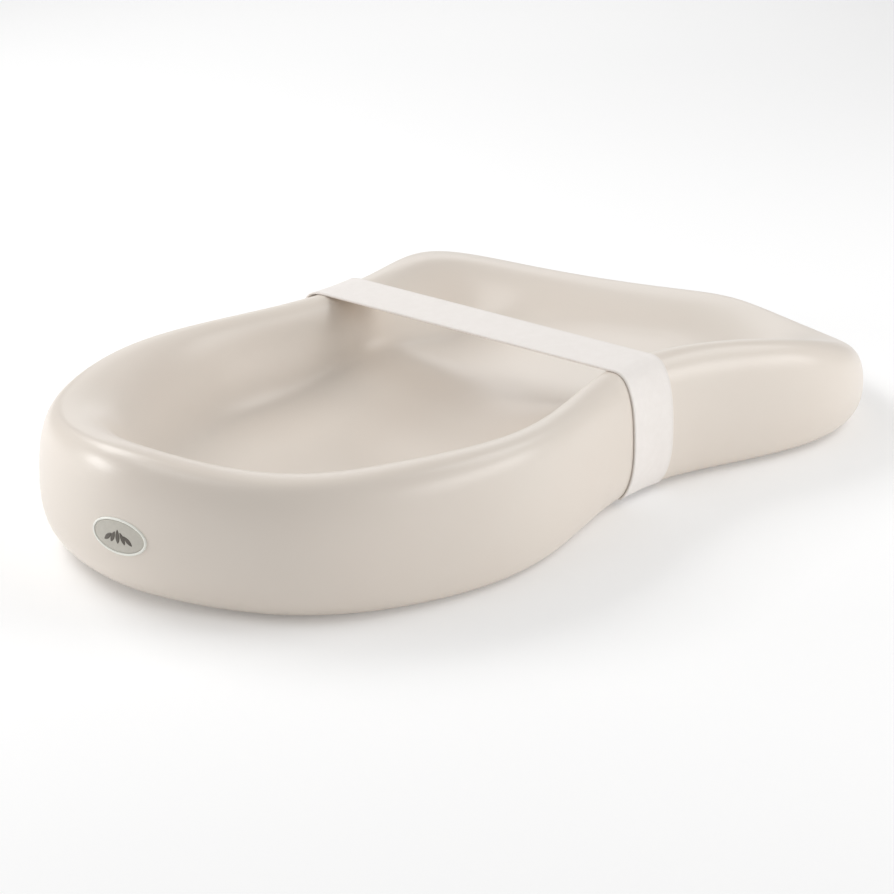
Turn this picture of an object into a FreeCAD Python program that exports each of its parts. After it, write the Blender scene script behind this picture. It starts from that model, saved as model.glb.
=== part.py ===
import FreeCAD, Part
import Sketcher

import math
import os

from FreeCAD import Placement, Rotation, Vector

# Changing pad: a dished, waisted block of moulded foam with a bonded skin, a waist strap
# that closes with hook and loop on its far side, an oval badge and four rubber feet.
# Frame: millimetres, +X from the head end to the foot end, +Z up, -Y is the near side.
# The origin is the middle of the footprint, on the surface that the feet stand on.

DIMENSIONS = [
    # alias, value, meaning
    ("pad_length", 813, "overall length of the pad along X"),
    ("base_lift", 2, "height of the pad's underside over the surface"),
    ("floor_height", 37, "height of the bowl's floor"),
    ("saddle_x", 35, "middle of the saddle across the bowl's waist, along X"),
    ("saddle_reach", 75, "distance along X over which the saddle fades"),
    ("saddle_middle_rise", 12, "rise of the saddle over the floor at its middle"),
    ("saddle_side_rise", 26, "rise of the saddle over the floor at its sides"),
    ("saddle_half_width", 90, "distance from the middle to the saddle's full side height"),
    ("spine_share", 0.54, "length of the line the sections point to, as a share of pad_length"),
    ("tuck_power", 0.9, "roundness of the wall below the belly"),
    ("shoulder_power", 0.8, "roundness of the wall above the belly"),
    ("roll_power", 1.35, "roundness of the rim towards the bowl"),
    ("skin_thickness", 2, "thickness of the moulded skin"),
    ("strap_x", 28, "middle of the strap along X"),
    ("strap_width", 52, "width of the webbing"),
    ("strap_thickness", 1.6, "thickness of the webbing"),
    ("strap_gap", 0.3, "gap between the webbing and the skin under it"),
    ("strap_hinge_lift", 6, "height of a strap's fold axis over the webbing"),
    ("strap_split_gap", 1, "gap between two lengths of webbing where they fold"),
    ("channel_width", 56, "width of the strap channel under the pad"),
    ("channel_depth", 5, "depth of the strap channel"),
    ("channel_inner_y", 88, "distance from the middle to the channel's inner end"),
    ("strap_inner_y", 96, "distance from the middle to the strap's screwed end"),
    ("screw_y", 116, "distance from the middle to a strap screw"),
    ("patch_thickness", 1.2, "thickness of the hook and the loop tape"),
    ("patch_gap", 0.15, "gap between the hook tape and the loop tape"),
    ("sewn_gap", 0.05, "gap between a tape and the webbing that it is sewn to"),
    ("anchor_top", 94, "height of the upper end of the far anchor strap"),
    ("patch_top", 90, "height of the upper edge of the closure"),
    ("patch_bottom", 56, "height of the lower edge of the closure"),
    ("strap_end_bottom", 44, "height of the free end of the strap"),
    ("patch_width", 44, "width of the hook and the loop tape"),
    ("board_length", 290, "length of the anchor board across the pad"),
    ("board_width", 64, "width of the anchor board"),
    ("board_thickness", 8, "thickness of the anchor board"),
    ("board_bottom", 12, "height of the anchor board's lower face"),
    ("board_corner", 10, "corner radius of the anchor board"),
    ("insert_radius", 3.6, "outer radius of a threaded insert"),
    ("insert_flange_radius", 5, "radius of the insert's flange"),
    ("insert_flange_thickness", 1, "thickness of the insert's flange"),
    ("screw_radius", 2.5, "shank radius of a strap screw"),
    ("screw_length", 15, "length of a strap screw under its head"),
    ("screw_head_radius", 4.75, "radius of a strap screw's head"),
    ("screw_head_height", 2.4, "height of a strap screw's head"),
    ("screw_socket_flats", 3, "width across the flats of the screw's socket"),
    ("screw_socket_depth", 1.6, "depth of the screw's socket"),
    ("screw_clearance", 0.3, "radial clearance round a strap screw"),
    ("washer_radius", 11, "outer radius of a strap washer"),
    ("washer_thickness", 1.2, "thickness of a strap washer"),
    ("foot_radius", 16, "radius of a rubber foot"),
    ("foot_recess_depth", 3, "depth of the recess that a foot is bonded into"),
    ("foot_gap", 0.25, "gap round a foot in its recess"),
    ("foot_chamfer", 1, "chamfer round the lower edge of a foot"),
    ("foot_x", 285, "distance of the feet from the middle along X"),
    ("foot_y", 95, "distance of the feet from the middle along Y"),
    ("badge_turn", 2.6, "station angle of the badge's centre, in degrees from the head end"),
    ("badge_height", 60, "height of the badge's centre"),
    ("badge_length", 53, "length of the badge"),
    ("badge_breadth", 29, "breadth of the badge"),
    ("badge_rim_width", 2.0, "width of the badge's raised rim"),
    ("badge_recess", 1.3, "depth of the badge's recess in the skin"),
    ("badge_plate_rise", 0.3, "height of the badge's plate over the skin"),
    ("badge_rim_rise", 0.9, "height of the badge's rim over the skin"),
    ("badge_gap", 0.1, "gap round the badge in its recess"),
    ("leaf_length", 11, "length of one leaf of the badge's motif"),
    ("leaf_breadth", 4.4, "breadth of one leaf of the badge's motif"),
    ("leaf_rise", 0.4, "height of the motif over the badge's plate"),
]

# Ordinates of the pad's plan and profile at evenly spaced station angles, from the head
# end (0 degrees) round to the foot end (180 degrees). Both sides of the pad are alike.
STATIONS = {
    "half_width": [242, 263, 264, 244, 217, 181, 209, 278, 318, 282, 225],
    "rim_height": [122, 114, 112, 111, 113, 109, 78, 53, 52],
    "base_inset": [48, 27, 20, 28, 27, 36],
    "crest_inset": [21, 21, 22, 32, 27],
    "slope_width": [80, 90, 44, 84, 89],
    "belly_share": [0.46, 0.43],
}

RING_POINTS = 60
LOWER_RINGS = 7
UPPER_RINGS = 7
INNER_RINGS = [0.08, 0.18, 0.3, 0.45, 0.6, 0.75, 0.88, 1.0]
CREST = 2.0
FLOOR_EDGE = 3.0
FLOOR_SHARES = [0.2, 0.4, 0.6, 0.8, 0.96]
FLOOR_MIDDLE = FLOOR_EDGE + FLOOR_SHARES[-1]
RAMP_START = 1.6
RAMP_END = 1.95
CREST_GAPS = [0.75, 0.5, 0.3, 0.15, 0.05, 0.0]
SECTIONS = 7
REACH = 500.0

document = FreeCAD.newDocument("changing_pad")
sheet = document.addObject("Spreadsheet::Sheet", "Dims")
parts = []


def fill_sheet():
    """Write every driving dimension and every station ordinate to the sheet."""
    rows = list(DIMENSIONS)
    for name, ordinates in STATIONS.items():
        for index, value in enumerate(ordinates):
            rows.append((f"{name}_station_{index}", value, f"{name} at station {index}"))
    for row, (alias, value, meaning) in enumerate(rows, start=1):
        sheet.set(f"A{row}", alias)
        sheet.set(f"B{row}", str(value))
        sheet.set(f"C{row}", meaning)
        sheet.setAlias(f"B{row}", alias)
    document.recompute()


def dim(alias):
    return float(sheet.get(alias))


def bisect(low, high, is_short):
    """The number between low and high up to which is_short holds."""
    for _ in range(40):
        middle = (low + high) / 2
        if is_short(middle):
            low = middle
        else:
            high = middle
    return middle


# ---------------------------------------------------------------- the pad's surface

class Ordinates:
    """An even, smooth curve of the station angle through evenly spaced ordinates."""

    def __init__(self, name):
        values = [dim(f"{name}_station_{i}") for i in range(len(STATIONS[name]))]
        last = len(values) - 1
        self.waves = []
        for k in range(last + 1):
            total = 0.0
            for i, value in enumerate(values):
                share = 0.5 if i in (0, last) else 1.0
                total += share * value * math.cos(math.pi * k * i / last)
            scale = 1.0 if k in (0, last) else 2.0
            self.waves.append(scale * total / last)

    def at(self, angle):
        return sum(wave * math.cos(k * angle) for k, wave in enumerate(self.waves))


class PadSurface:
    """The pad's outer surface, from its underside over the rim to the bowl's floor.

    A point is named by a station angle (0 at the head end, negative on the near side)
    and a ring number: 0 at the underside's edge, 1 at the belly, 2 at the rim's crest,
    3 at the edge of the bowl's floor and 4 at the floor's middle.
    """

    def __init__(self):
        self.length = dim("pad_length")
        self.lift = dim("base_lift")
        self.spine = dim("spine_share")
        self.tuck = dim("tuck_power")
        self.shoulder = dim("shoulder_power")
        self.roll = dim("roll_power")
        self.curves = {name: Ordinates(name) for name in STATIONS}

    def floor_height(self, x, y):
        """Height of the floor: flat, with a saddle across the waist, higher at its sides."""
        middle_rise = dim("saddle_middle_rise")
        side_rise = dim("saddle_side_rise")
        along = math.exp(-((x - dim("saddle_x")) / dim("saddle_reach")) ** 2)
        across = min(abs(y) / dim("saddle_half_width"), 1) ** 2
        return dim("floor_height") + along * (middle_rise + (side_rise - middle_rise) * across)

    def outline(self, angle):
        """The plan outline's point, and the unit direction from it to the spine."""
        x = -self.length / 2 * math.cos(angle)
        y = math.sin(angle) * self.curves["half_width"].at(angle)
        return Vector(x, y, 0), Vector(self.spine * x - x, -y, 0).normalize()

    def section(self, angle, ring):
        """Distance in from the pad's plan outline, and height, up to the floor's edge."""
        rim = self.curves["rim_height"].at(angle)
        belly = self.curves["belly_share"].at(angle) * rim
        crest = self.curves["crest_inset"].at(angle)
        if ring <= 1:
            turn = ring * math.pi / 2
            inward = self.curves["base_inset"].at(angle) * (1 - math.sin(turn) ** self.tuck)
            height = self.lift + (belly - self.lift) * (1 - math.cos(turn) ** self.tuck)
        elif ring <= 2:
            turn = (ring - 1) * math.pi / 2
            inward = crest * (1 - max(math.cos(turn), 0) ** self.shoulder)
            height = belly + (rim - belly) * math.sin(turn) ** self.shoulder
        else:
            share = ring - 2
            width = self.curves["slope_width"].at(angle)
            start, to_spine = self.outline(angle)
            edge = start + to_spine * (crest + width)
            drop = rim - self.floor_height(edge.x, edge.y)
            inward = crest + width * share
            height = rim - drop * (1 - math.cos(math.pi * share ** self.roll)) / 2
        return inward, height

    def point(self, angle, ring):
        inward, height = self.section(angle, min(ring, FLOOR_EDGE))
        start, to_spine = self.outline(angle)
        place = start + to_spine * inward
        if ring > FLOOR_EDGE:
            middle = Vector(dim("saddle_x"), 0, 0)
            place = place + (middle - place) * (ring - FLOOR_EDGE)
            level = middle if ring == FLOOR_MIDDLE else place
            height = self.floor_height(level.x, level.y)
        return Vector(place.x, place.y, height)

    def normal(self, angle, ring):
        step = 0.02
        low = max(ring - step, 0)
        high = min(ring + step, FLOOR_EDGE)
        across = self.point(angle, high) - self.point(angle, low)
        along = self.point(angle + step, ring) - self.point(angle - step, ring)
        return across.cross(along).normalize()

    def ring_wire(self, ring, offset):
        """A closed smooth curve round the pad, moved outwards by offset."""
        points = []
        for i in range(RING_POINTS):
            angle = -math.pi + 2 * math.pi * i / RING_POINTS
            point = self.point(angle, ring)
            if ring == 0:
                point = point - Vector(0, 0, offset)
            elif ring >= FLOOR_EDGE:
                point = point + Vector(0, 0, offset)
            else:
                point = self.raised_point(angle, ring, offset)
            points.append(point)
        curve = Part.BSplineCurve()
        curve.interpolate(Points=points, PeriodicFlag=True)
        return Part.Wire([curve.toShape()])

    def solid(self, offset):
        """The solid inside the surface moved outwards by offset."""
        rings = [i / LOWER_RINGS for i in range(LOWER_RINGS)]
        rings += [1 + i / UPPER_RINGS for i in range(UPPER_RINGS + 1)]
        rings += [CREST + share for share in INNER_RINGS]
        rings += [FLOOR_EDGE + share for share in FLOOR_SHARES]
        return Part.makeLoft([self.ring_wire(ring, offset) for ring in rings], True, False)

    def raised_point(self, angle, ring, offset):
        return self.point(angle, ring) + self.normal(angle, ring) * offset

    def point_where(self, axis, value, ring, offset, low, high):
        """The raised point of this ring whose x (0) or y (1) has this value.

        The coordinate grows from station angle low to station angle high.
        """
        angle = bisect(low, high, lambda turn: self.raised_point(turn, ring, offset)[axis] < value)
        return self.raised_point(angle, ring, offset)

    def wall_point(self, x, ring, offset, side):
        """The raised point of this ring that lies at this x, on side -1 or +1."""
        return self.point_where(0, x, ring, offset, 0.0, side * math.pi)


fill_sheet()
pad = PadSurface()
half_strap = dim("strap_width") / 2
strap_x = dim("strap_x")
strap_gap = dim("strap_gap")
webbing = dim("strap_thickness")


def smooth(points):
    """An open smooth curve through the points."""
    curve = Part.BSplineCurve()
    curve.interpolate(Points=points)
    return curve.toShape()


def layer_section(inner, outer):
    """A closed wire between an inner and an outer row of points."""
    edges = [smooth(inner), Part.makeLine(inner[-1], outer[-1])]
    edges += [smooth(outer[::-1]), Part.makeLine(outer[0], inner[0])]
    return Part.Wire(edges)


def side_box(side, width, y_inner, z_low, z_high):
    """A box centred on the strap along X that runs outwards from y_inner on one side."""
    y_low = y_inner if side > 0 else -y_inner - REACH
    corner = Vector(strap_x - width / 2, y_low, z_low)
    return Part.makeBox(width, REACH, z_high - z_low, corner)


def hollow(outer, inner):
    """The solid between an outer solid and a smaller one that lies wholly inside it."""
    return Part.makeSolid(Part.makeCompound([outer.Shells[0], inner.Shells[0].reversed()]))


def keep(label, shape):
    """Add a sub-part whose shape is set here, and remember it for export."""
    feature = document.addObject("Part::Feature", label)
    feature.Label = label
    solids = shape.Solids
    feature.Shape = solids[0] if len(solids) == 1 else Part.makeCompound(solids)
    parts.append(feature)
    return feature


# ---------------------------------------------------------------- places along the strap

skin = dim("skin_thickness")
channel_ceiling = dim("base_lift") + dim("channel_depth")
webbing_underside = channel_ceiling - webbing
washer_underside = webbing_underside - dim("washer_thickness")
screw_hole = dim("screw_radius") + dim("screw_clearance")
split = dim("strap_split_gap") / 2
crest_ends = [pad.wall_point(strap_x + end * half_strap, CREST, 0, 1) for end in (-1, 1)]
fold_y = max(point.y for point in crest_ends)
side_names = {-1: "near", 1: "far"}


# ---------------------------------------------------------------- sketched pieces

def origin_plane(body):
    return [f for f in body.Origin.OriginFeatures if f.Role == "XY_Plane"][0]


def new_body(label):
    body = document.addObject("PartDesign::Body", label)
    body.Label = label
    parts.append(body)
    return body


def circle_sketch(body, name, radius):
    """A sketch of one circle round the body's origin, its radius bound to the sheet."""
    sketch = body.newObject("Sketcher::SketchObject", name)
    sketch.AttachmentSupport = (origin_plane(body), [""])
    sketch.MapMode = "FlatFace"
    sketch.addGeometry(Part.Circle(Vector(0, 0, 0), Vector(0, 0, 1), 1), False)
    sketch.addConstraint(Sketcher.Constraint("Coincident", 0, 3, -1, 1))
    sketch.addConstraint(Sketcher.Constraint("Radius", 0, 1))
    sketch.setExpression("Constraints[1]", radius)
    return sketch


def add_pad(body, name, sketch, length):
    feature = body.newObject("PartDesign::Pad", name)
    feature.Profile = sketch
    feature.setExpression("Length", length)
    document.recompute()
    return feature


def lowest_edge(shape):
    """The name of the edge that lies lowest."""
    edges = shape.Edges
    index = min(range(len(edges)), key=lambda i: edges[i].BoundBox.ZMax)
    return f"Edge{index + 1}"


def make_foot(label, x, y):
    """A rubber disc, chamfered round its lower edge."""
    body = new_body(label)
    outline = circle_sketch(body, label + "_outline", "Dims.foot_radius - Dims.foot_gap")
    disc = add_pad(body, label + "_disc", outline, "Dims.base_lift + Dims.foot_recess_depth")
    chamfer = body.newObject("PartDesign::Chamfer", label + "_edge")
    chamfer.Base = (disc, [lowest_edge(disc.Shape)])
    chamfer.setExpression("Size", "Dims.foot_chamfer")
    body.Placement = Placement(Vector(x, y, 0), Rotation())


def make_washer(label, x, y, z):
    """A flat ring under a strap screw's head."""
    body = new_body(label)
    outline = circle_sketch(body, label + "_outline", "Dims.washer_radius")
    hole = Part.Circle(Vector(0, 0, 0), Vector(0, 0, 1), 0.5)
    outline.addGeometry(hole, False)
    outline.addConstraint(Sketcher.Constraint("Coincident", 1, 3, -1, 1))
    outline.addConstraint(Sketcher.Constraint("Radius", 1, 0.5))
    outline.setExpression("Constraints[3]", "Dims.screw_radius + Dims.screw_clearance")
    add_pad(body, label + "_ring", outline, "Dims.washer_thickness")
    body.Placement = Placement(Vector(x, y, z), Rotation())


# ---------------------------------------------------------------- screws and inserts

def cylinder(name, radius, height):
    shape = document.addObject("Part::Cylinder", name)
    shape.setExpression("Radius", radius)
    shape.setExpression("Height", height)
    return shape


def boolean(kind, name, base, tool):
    result = document.addObject(kind, name)
    result.Base = base
    result.Tool = tool
    return result


def make_screw(label, x, y, z):
    """A socket-headed screw that points up, its head's upper face at height z."""
    shank = cylinder(label + "_shank", "Dims.screw_radius", "Dims.screw_length")
    head = cylinder(label + "_head", "Dims.screw_head_radius", "Dims.screw_head_height")
    head.setExpression("Placement.Base.z", "-Dims.screw_head_height")
    blank = boolean("Part::Fuse", label + "_blank", shank, head)
    socket = document.addObject("Part::Prism", label + "_socket")
    socket.Polygon = 6
    socket.setExpression("Circumradius", "Dims.screw_socket_flats / sqrt(3)")
    socket.setExpression("Height", "Dims.screw_socket_depth")
    socket.setExpression("Placement.Base.z", "-Dims.screw_head_height")
    screw = boolean("Part::Cut", label, blank, socket)
    screw.Label = label
    screw.Placement = Placement(Vector(x, y, z), Rotation())
    parts.append(screw)


def make_insert(label, x, y, z):
    """A flanged, bored insert pressed up into the anchor board from below."""
    barrel = cylinder(label + "_barrel", "Dims.insert_radius", "Dims.board_thickness")
    flange = cylinder(label + "_flange", "Dims.insert_flange_radius", "Dims.insert_flange_thickness")
    flange.setExpression("Placement.Base.z", "-Dims.insert_flange_thickness")
    blank = boolean("Part::Fuse", label + "_blank", barrel, flange)
    length = "Dims.board_thickness + Dims.insert_flange_thickness"
    bore = cylinder(label + "_bore", "Dims.screw_radius", length)
    bore.setExpression("Placement.Base.z", "-Dims.insert_flange_thickness")
    insert = boolean("Part::Cut", label, blank, bore)
    insert.Label = label
    insert.Placement = Placement(Vector(x, y, z), Rotation())
    parts.append(insert)


def make_anchor_board():
    """The board inside the foam that holds the strap inserts."""
    label = "anchor_board"
    body = new_body(label)
    sketch = body.newObject("Sketcher::SketchObject", label + "_outline")
    sketch.AttachmentSupport = (origin_plane(body), [""])
    sketch.MapMode = "FlatFace"
    corners = [Vector(-1, -2, 0), Vector(1, -2, 0), Vector(1, 2, 0), Vector(-1, 2, 0)]
    for index, corner in enumerate(corners):
        sketch.addGeometry(Part.LineSegment(corner, corners[(index + 1) % 4]), False)
    for index in range(4):
        sketch.addConstraint(Sketcher.Constraint("Coincident", index, 2, (index + 1) % 4, 1))
    for index, direction in enumerate(["Horizontal", "Vertical", "Horizontal", "Vertical"]):
        sketch.addConstraint(Sketcher.Constraint(direction, index))
    sketch.addConstraint(Sketcher.Constraint("Symmetric", 0, 1, 1, 2, -1, 1))
    sketch.addConstraint(Sketcher.Constraint("DistanceX", 0, 1, 0, 2, 2))
    sketch.setExpression("Constraints[9]", "Dims.board_width")
    sketch.addConstraint(Sketcher.Constraint("DistanceY", 1, 1, 1, 2, 4))
    sketch.setExpression("Constraints[10]", "Dims.board_length")
    board = add_pad(body, label + "_blank", sketch, "Dims.board_thickness")
    upright = []
    for index, edge in enumerate(board.Shape.Edges, start=1):
        box = edge.BoundBox
        if box.ZLength > dim("board_thickness") / 2:
            upright.append(f"Edge{index}")
    fillet = body.newObject("PartDesign::Fillet", label + "_corners")
    fillet.Base = (board, upright)
    fillet.setExpression("Radius", "Dims.board_corner")
    document.recompute()
    holes = body.newObject("Sketcher::SketchObject", label + "_holes")
    holes.AttachmentSupport = (origin_plane(body), [""])
    holes.MapMode = "FlatFace"
    for index, side in enumerate(side_names):
        middle = Vector(0, side, 0)
        holes.addGeometry(Part.Circle(middle, Vector(0, 0, 1), 0.5), False)
        holes.addConstraint(Sketcher.Constraint("PointOnObject", index, 3, -2))
        holes.addConstraint(Sketcher.Constraint("DistanceY", -1, 1, index, 3, side))
        holes.setExpression(f"Constraints[{3 * index + 1}]", f"{side} * Dims.screw_y")
        holes.addConstraint(Sketcher.Constraint("Radius", index, 0.5))
        holes.setExpression(f"Constraints[{3 * index + 2}]", "Dims.insert_radius")
    pocket = body.newObject("PartDesign::Pocket", label + "_bores")
    pocket.Profile = holes
    pocket.Reversed = True
    pocket.setExpression("Length", "Dims.board_thickness")
    document.recompute()
    body.Placement = Placement(Vector(strap_x, 0, dim("board_bottom")), Rotation())
    return body


# ---------------------------------------------------------------- badge

class Badge:
    """The badge's place on the head end's wall, and the prisms that cut its pieces."""

    def __init__(self):
        angle = -math.radians(dim("badge_turn"))
        height = dim("badge_height")
        self.ring = bisect(0.0, CREST, lambda ring: pad.point(angle, ring).z < height)
        self.centre = pad.point(angle, self.ring)
        self.out = pad.normal(angle, self.ring)
        self.along = Vector(0, 0, 1).cross(self.out).normalize()
        self.up = self.out.cross(self.along).normalize()
        self.reach = dim("badge_breadth")

    def prism(self, length, breadth, along=0.0, up=0.0, turn=0.0):
        """An elliptic prism square to the skin, with these full axes and shifts."""
        major = self.along * math.cos(turn) + self.up * math.sin(turn)
        minor = self.out.cross(major)
        middle = self.centre + self.along * along + self.up * up - self.out * self.reach
        tip = middle + major * (length / 2)
        side = middle + minor * (breadth / 2)
        edge = Part.Ellipse(tip, side, middle).toShape()
        return Part.Face(Part.Wire([edge])).extrude(self.out * 2 * self.reach)

    def layer(self, inner, outer):
        """A block of wall round the badge, between two offsets from the skin."""
        rings = [self.ring + 0.1 * i for i in range(-4, 5)]
        reach = 0.6 * dim("badge_length")
        sections = []
        for step in (-1, -0.5, 0, 0.5, 1):
            y = self.centre.y + step * reach
            low = [pad.point_where(1, y, ring, inner, -1.2, 1.2) for ring in rings]
            high = [pad.point_where(1, y, ring, outer, -1.2, 1.2) for ring in rings]
            sections.append(layer_section(low, high))
        return Part.makeLoft(sections, True, False)


def leaf_prisms(badge):
    """A sprig: one upright leaf and two pairs that lean away from it."""
    length = dim("leaf_length")
    breadth = dim("leaf_breadth")
    leaves = []
    for place, lean in ((-1.75, 40), (-0.85, 65), (0, 90), (0.85, 115), (1.75, 140)):
        size = 1.0 if place == 0 else 0.9
        rise = -0.08 * length * abs(place)
        turn = math.radians(lean)
        leaf = badge.prism(length * size, breadth * size, place * length / 2, rise, turn)
        leaves.append(leaf)
    return leaves


# ---------------------------------------------------------------- build

outer_solid = pad.solid(0)
core_block = pad.solid(-skin)
outer_cuts = []
screw_holes = []
foam_cuts = []

foot_top = dim("base_lift") + dim("foot_recess_depth")
for end_name, end in (("head", -1), ("foot", 1)):
    for side, side_name in side_names.items():
        x = end * dim("foot_x")
        y = side * dim("foot_y")
        make_foot(f"base_foot_{end_name}_{side_name}", x, y)
        outer_cuts.append(Part.makeCylinder(dim("foot_radius"), foot_top, Vector(x, y, 0)))
        lining = Part.makeCylinder(dim("foot_radius") + skin, foot_top + skin, Vector(x, y, 0))
        core_block = core_block.cut(lining)

board = make_anchor_board()
foam_cuts.append(board.Shape)
hole_length = dim("board_bottom") + dim("board_thickness")
for side, side_name in side_names.items():
    y = side * dim("screw_y")
    place = Vector(strap_x, y, 0)
    make_insert(f"strap_insert_{side_name}", strap_x, y, dim("board_bottom"))
    make_screw(f"strap_screw_{side_name}", strap_x, y, washer_underside)
    make_washer(f"strap_washer_{side_name}", strap_x, y, washer_underside)
    channel_width = dim("channel_width")
    channel_y = dim("channel_inner_y")
    outer_cuts.append(side_box(side, channel_width, channel_y, 0, channel_ceiling))
    lining = side_box(side, channel_width + 2 * skin, channel_y - skin, 0, channel_ceiling + skin)
    core_block = core_block.cut(lining)
    screw_holes.append(Part.makeCylinder(screw_hole, hole_length, place))
    foam_cuts.append(Part.makeCylinder(dim("insert_flange_radius"), hole_length, place))

badge = Badge()
badge_length = dim("badge_length")
badge_breadth = dim("badge_breadth")
rim_width = 2 * dim("badge_rim_width")
badge_gap = 2 * dim("badge_gap")
floor = -dim("badge_recess")
plate_rise = dim("badge_plate_rise")
motif_rise = plate_rise + dim("leaf_rise")
recess = badge.prism(badge_length + badge_gap, badge_breadth + badge_gap)
outer_cuts.append(recess.common(badge.layer(floor, badge.reach / 4)))

rim_ring = badge.prism(badge_length, badge_breadth)
rim_ring = rim_ring.cut(badge.prism(badge_length - rim_width, badge_breadth - rim_width))
rim_layer = badge.layer(floor + badge_gap, dim("badge_rim_rise"))
keep("badge_rim", rim_ring.common(rim_layer))

plate = badge.prism(badge_length - rim_width - badge_gap, badge_breadth - rim_width - badge_gap)
keep("badge_plate", plate.common(badge.layer(floor + badge_gap, plate_rise)))

motif_layer = badge.layer(plate_rise, motif_rise)
keep("badge_motif", Part.makeCompound([leaf.common(motif_layer) for leaf in leaf_prisms(badge)]))

skin_block = outer_solid
for cut in outer_cuts:
    skin_block = skin_block.cut(cut)
skin_shell = hollow(skin_block, core_block)
for hole in screw_holes:
    skin_shell = skin_shell.cut(hole)
keep("outer_skin", skin_shell)
foam = core_block
for cut in foam_cuts:
    foam = foam.cut(cut)
keep("foam_core", foam)

# ---------------------------------------------------------------- strap

strap_width = dim("strap_width")
patch_width = dim("patch_width")
patch = dim("patch_thickness")
sewn_gap = dim("sewn_gap")
loop_offset = strap_gap + webbing + sewn_gap
hook_offset = loop_offset + patch + dim("patch_gap")
end_offset = hook_offset + patch + sewn_gap


def ring_at(height):
    """The wall's ring at this height under the middle of the strap."""
    return bisect(0.0, CREST, lambda ring: pad.wall_point(strap_x, ring, 0, 1).z < height)


def fold_ring(x):
    """The wall's ring at which a run of webbing ends, beside the strap's fold."""
    limit = fold_y + split
    return bisect(1.0, CREST, lambda ring: pad.wall_point(x, ring, strap_gap, 1).y > limit)


def evenly(low, high, count):
    return [low + (high - low) * i / (count - 1) for i in range(count)]


def rings_to_fold(low, x):
    """Rings from low up to the strap's fold, closer together near the crest."""
    top = fold_ring(x)
    return evenly(low, RAMP_START, 9) + [top - (top - RAMP_START) * gap for gap in CREST_GAPS]


def strap_loft(width, section_at):
    """A solid through sections taken at planes of constant x across this width."""
    xs = evenly(strap_x - width / 2, strap_x + width / 2, SECTIONS)
    return Part.makeLoft([section_at(x) for x in xs], True, False)


def wall_row(side, x, rings, offset_at):
    return [pad.wall_point(x, ring, offset_at(ring), side) for ring in rings]


def wall_layer(side, width, rings_at, inner_at, thickness):
    """Webbing or tape that lies over the wall, its inner face at inner_at(ring)."""
    def section_at(x):
        rings = rings_at(x)
        inner = wall_row(side, x, rings, inner_at)
        outer = wall_row(side, x, rings, lambda ring: inner_at(ring) + thickness)
        return layer_section(inner, outer)
    return strap_loft(width, section_at)


def anchored_run(side, rings_at):
    """Webbing screwed under the pad, that turns up and follows the wall."""
    inner_y = side * dim("strap_inner_y")

    def section_at(x):
        rings = rings_at(x)
        inner = wall_row(side, x, rings, lambda ring: strap_gap)
        outer = wall_row(side, x, rings, lambda ring: strap_gap + webbing)
        turn_inner = Vector(x, inner[0].y, channel_ceiling)
        turn_outer = Vector(x, outer[0].y, webbing_underside)
        end_inner = Vector(x, inner_y, channel_ceiling)
        end_outer = Vector(x, inner_y, webbing_underside)
        corners = [outer[0], turn_outer, end_outer, end_inner, turn_inner, inner[0]]
        edges = [smooth(inner), Part.makeLine(inner[-1], outer[-1]), smooth(outer[::-1])]
        edges += [Part.makeLine(start, end) for start, end in zip(corners, corners[1:])]
        return Part.Wire(edges)

    place = Vector(strap_x, side * dim("screw_y"), 0)
    hole = Part.makeCylinder(screw_hole, 2 * channel_ceiling, place)
    return strap_loft(strap_width, section_at).cut(hole)


def end_offset_at(ring):
    """Distance of the strap's free run from the skin: on it at the fold, then over the tapes."""
    share = (RAMP_END - ring) / (RAMP_END - RAMP_START)
    share = min(max(share, 0.0), 1.0)
    return strap_gap + (end_offset - strap_gap) * share * share * (3 - 2 * share)


def top_run():
    """The flat length of webbing that spans the pad from crest to crest."""
    reach = fold_y - split
    lower = []
    for end, crest in zip((-1, 1), crest_ends):
        lower.append(Vector(strap_x + end * half_strap, -reach, crest.z + strap_gap))
    upper = [point + Vector(0, 0, webbing) for point in lower]
    outline = Part.makePolygon([lower[0], lower[1], upper[1], upper[0], lower[0]])
    return Part.Face(outline).extrude(Vector(0, 2 * reach, 0))


turn_ring = ring_at(channel_ceiling + strap_gap)
end_ring = ring_at(dim("strap_end_bottom"))
anchor_rings = evenly(turn_ring, ring_at(dim("anchor_top")), 10)
patch_rings = evenly(ring_at(dim("patch_bottom")), ring_at(dim("patch_top")), 5)
loop = wall_layer(1, patch_width, lambda x: patch_rings, lambda ring: loop_offset, patch)
hook = wall_layer(1, patch_width, lambda x: patch_rings, lambda ring: hook_offset, patch)
end_run = wall_layer(1, strap_width, lambda x: rings_to_fold(end_ring, x), end_offset_at, webbing)
keep("strap_near_run", anchored_run(-1, lambda x: rings_to_fold(turn_ring, x)))
keep("strap_far_anchor", anchored_run(1, lambda x: anchor_rings))
keep("loop_tape", loop)
keep("hook_tape", hook)
keep("strap_end_run", end_run)
keep("strap_top_run", top_run())

document.recompute()


# ---------------------------------------------------------------- check and write

os.makedirs("parts", exist_ok=True)
for thing in document.Objects:
    if "Invalid" in thing.State or "Error" in thing.State:
        raise RuntimeError(f"{thing.Name} failed: {thing.State}")
for part in parts:
    if part.Shape.isNull() or not part.Shape.isValid():
        raise RuntimeError(f"{part.Label} has no valid shape")
    part.Shape.exportStep(f"parts/{part.Label}.step")
    solids = len(part.Shape.Solids)
    print(f"{part.Label}: {solids} solid(s), {part.Shape.Volume / 1000:.2f} cm3")
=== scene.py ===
"""Looks of the changing pad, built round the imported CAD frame. Lengths are in metres."""

import math

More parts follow.
